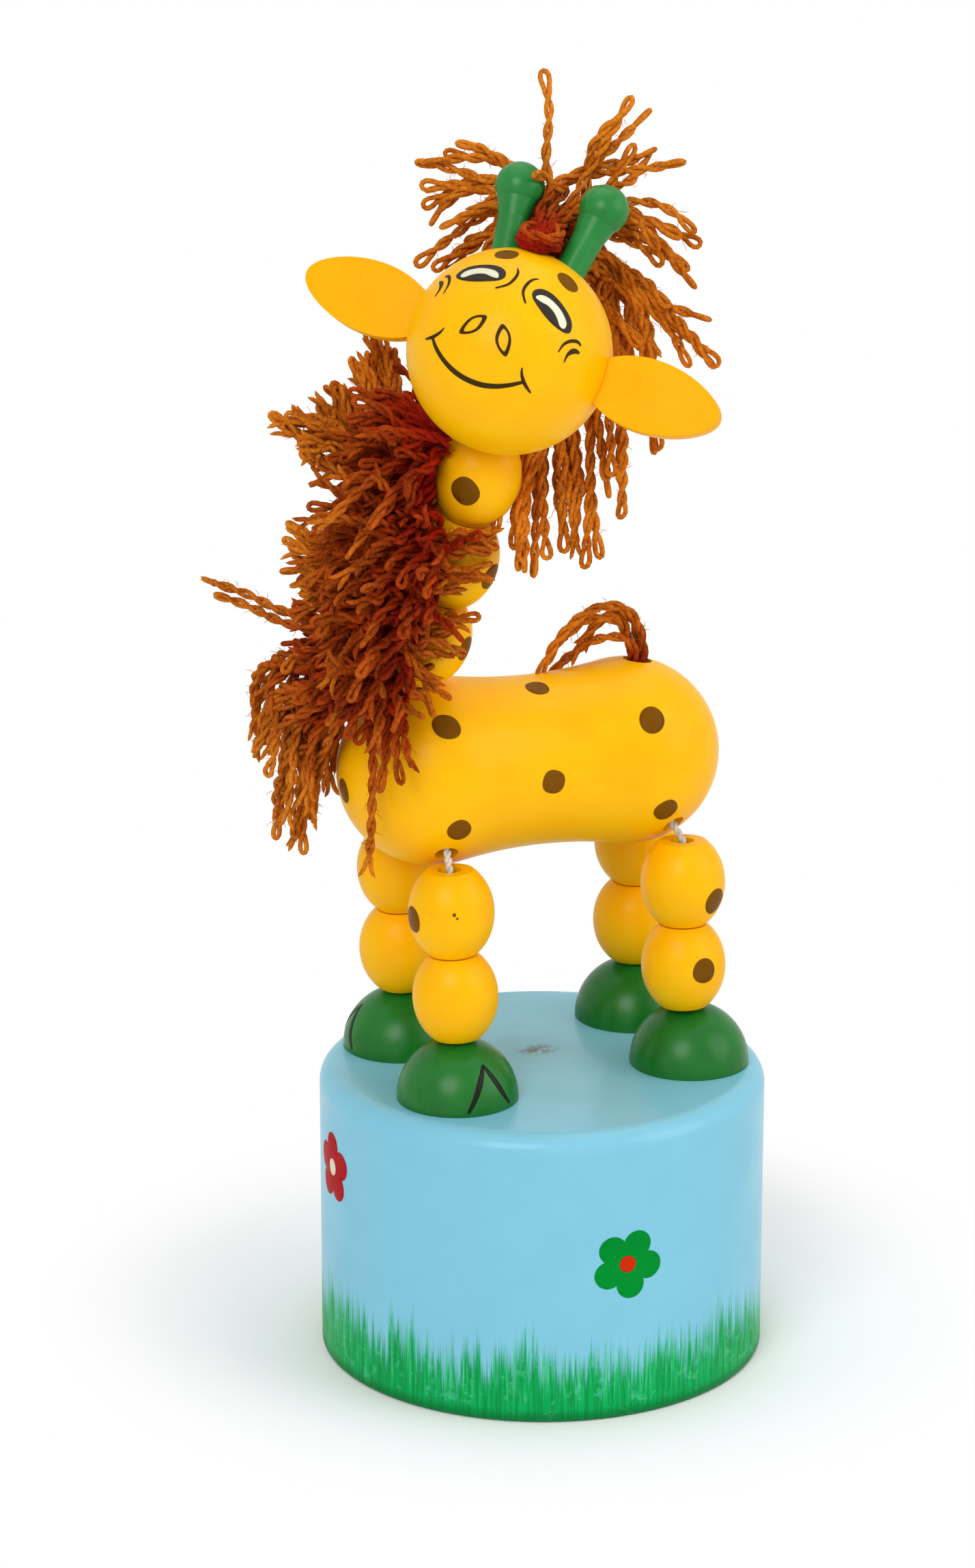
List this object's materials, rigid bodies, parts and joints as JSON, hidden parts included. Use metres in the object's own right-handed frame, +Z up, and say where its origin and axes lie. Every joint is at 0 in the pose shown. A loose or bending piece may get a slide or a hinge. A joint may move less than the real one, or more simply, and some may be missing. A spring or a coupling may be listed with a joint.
{
  "type": "push puppet",
  "caption": "Push puppet giraffe of strung wooden beads that stands taut on a drum and folds when the button underneath is pressed; yarn mane, forelock and tail.",
  "frame": {"origin": "centre of the drum's foot ring, on the plane that it stands on", "axes": "+Z up along the drum's axis; -X is the figure's head end, -Y its left side"},
  "size_m": [0.0555, 0.0543, 0.1356],
  "materials": {
    "drum_paint": "gloss paint",
    "green_paint": "gloss paint",
    "spring_wire": "bright",
    "bare_wood": "sanded",
    "cord": "braided",
    "yellow_paint": "gloss paint",
    "yarn": "twisted yarn"
  },
  "bodies": {
    "drum": {"base": "drum_paint", "hoof_fl": "green_paint", "hoof_fr": "green_paint", "hoof_rl": "green_paint", "hoof_rr": "green_paint", "spring": "spring_wire"},
    "button": {"push_button": "bare_wood", "front_cord": "cord", "rear_cord": "cord"},
    "lower_fl": {"lower_bead_fl": "yellow_paint"},
    "upper_fl": {"upper_bead_fl": "yellow_paint"},
    "lower_fr": {"lower_bead_fr": "yellow_paint"},
    "upper_fr": {"upper_bead_fr": "yellow_paint"},
    "lower_rl": {"lower_bead_rl": "yellow_paint"},
    "upper_rl": {"upper_bead_rl": "yellow_paint"},
    "lower_rr": {"lower_bead_rr": "yellow_paint"},
    "upper_rr": {"upper_bead_rr": "yellow_paint"},
    "trunk": {"trunk": "yellow_paint", "tail": "yarn"},
    "neck_1": {"neck_bead_1": "yellow_paint", "mane_lower": "yarn"},
    "neck_2": {"neck_bead_2": "yellow_paint", "mane_middle": "yarn"},
    "neck_3": {"neck_bead_3": "yellow_paint", "mane_upper": "yarn"},
    "head": {"head": "yellow_paint", "ear_left": "yellow_paint", "ear_right": "yellow_paint", "horn_left": "green_paint", "horn_right": "green_paint", "crown_knot": "yarn", "forelock": "yarn"}
  },
  "joints": [
    {"name": "button_press", "type": "slide", "parent": "drum", "child": "button", "axis": [0, 0, 1], "range_m": [0, 0.01], "stiffness_N_per_m": 450, "springref_m": -0.008, "deforming": ["spring", "front_cord", "rear_cord"]},
    {"name": "shin_fl", "type": "hinge", "parent": "drum", "child": "lower_fl", "pos_m": [-0.0131, -0.0083, 0.03335], "axis": [0, -1, 0], "range_deg": [0, 40.2]},
    {"name": "knee_fl", "type": "hinge", "parent": "lower_fl", "child": "upper_fl", "pos_m": [-0.01081, -0.00797, 0.04976], "axis": [0, 1, 0], "range_deg": [0, 76.19]},
    {"name": "shin_fr", "type": "hinge", "parent": "drum", "child": "lower_fr", "pos_m": [-0.0131, 0.0101, 0.03335], "axis": [0, -1, 0], "range_deg": [0, 40.2]},
    {"name": "knee_fr", "type": "hinge", "parent": "lower_fr", "child": "upper_fr", "pos_m": [-0.01081, 0.00977, 0.04976], "axis": [0, 1, 0], "range_deg": [0, 76.19]},
    {"name": "shin_rl", "type": "hinge", "parent": "drum", "child": "lower_rl", "pos_m": [0.0152, -0.0064, 0.03335], "axis": [0, 1, 0], "range_deg": [0, 40.33]},
    {"name": "knee_rl", "type": "hinge", "parent": "lower_rl", "child": "upper_rl", "pos_m": [0.01155, -0.00667, 0.04968], "axis": [0, -1, 0], "range_deg": [0, 79.57]},
    {"name": "shin_rr", "type": "hinge", "parent": "drum", "child": "lower_rr", "pos_m": [0.0152, 0.0104, 0.03335], "axis": [0, 1, 0], "range_deg": [0, 36.24]},
    {"name": "knee_rr", "type": "hinge", "parent": "lower_rr", "child": "upper_rr", "pos_m": [0.01255, 0.01007, 0.04966], "axis": [0, -1, 0], "range_deg": [0, 71.05]},
    {"name": "trunk_tilt", "type": "hinge", "parent": "upper_fl", "child": "trunk", "pos_m": [-0.0127, 0.0009, 0.06798], "axis": [0, -1, 0], "range_deg": [0, 32.45]},
    {"name": "neck_fold_1", "type": "hinge", "parent": "trunk", "child": "neck_1", "pos_m": [-0.014, -0.00233, 0.07833], "axis": [0.829, 0.5592, 0], "range_deg": [0, 24.2]},
    {"name": "neck_fold_2", "type": "hinge", "parent": "neck_1", "child": "neck_2", "pos_m": [-0.01152, -0.006, 0.0873], "axis": [0.829, 0.5592, 0], "range_deg": [0, 26.2]},
    {"name": "neck_fold_3", "type": "hinge", "parent": "neck_2", "child": "neck_3", "pos_m": [-0.00985, -0.00848, 0.09692], "axis": [0.829, 0.5592, 0], "range_deg": [0, 26.2]},
    {"name": "head_turn", "type": "hinge", "parent": "neck_3", "child": "head", "pos_m": [-0.00967, -0.00874, 0.10684], "axis": [0.1635, -0.2424, 0.9563], "range_deg": [-75, 75]}
  ],
  "couplings": [
    {"joint": "shin_fl", "follows": "button_press", "rad_per_m": 69.813},
    {"joint": "knee_fl", "follows": "button_press", "rad_per_m": 132.62},
    {"joint": "shin_fr", "follows": "button_press", "rad_per_m": 69.813},
    {"joint": "knee_fr", "follows": "button_press", "rad_per_m": 132.62},
    {"joint": "shin_rl", "follows": "button_press", "rad_per_m": 70.044},
    {"joint": "knee_rl", "follows": "button_press", "rad_per_m": 138.52},
    {"joint": "shin_rr", "follows": "button_press", "rad_per_m": 62.898},
    {"joint": "knee_rr", "follows": "button_press", "rad_per_m": 123.66},
    {"joint": "trunk_tilt", "follows": "button_press", "rad_per_m": 56.295},
    {"joint": "neck_fold_1", "follows": "button_press", "rad_per_m": 41.888},
    {"joint": "neck_fold_2", "follows": "button_press", "rad_per_m": 45.379},
    {"joint": "neck_fold_3", "follows": "button_press", "rad_per_m": 45.379}
  ]
}
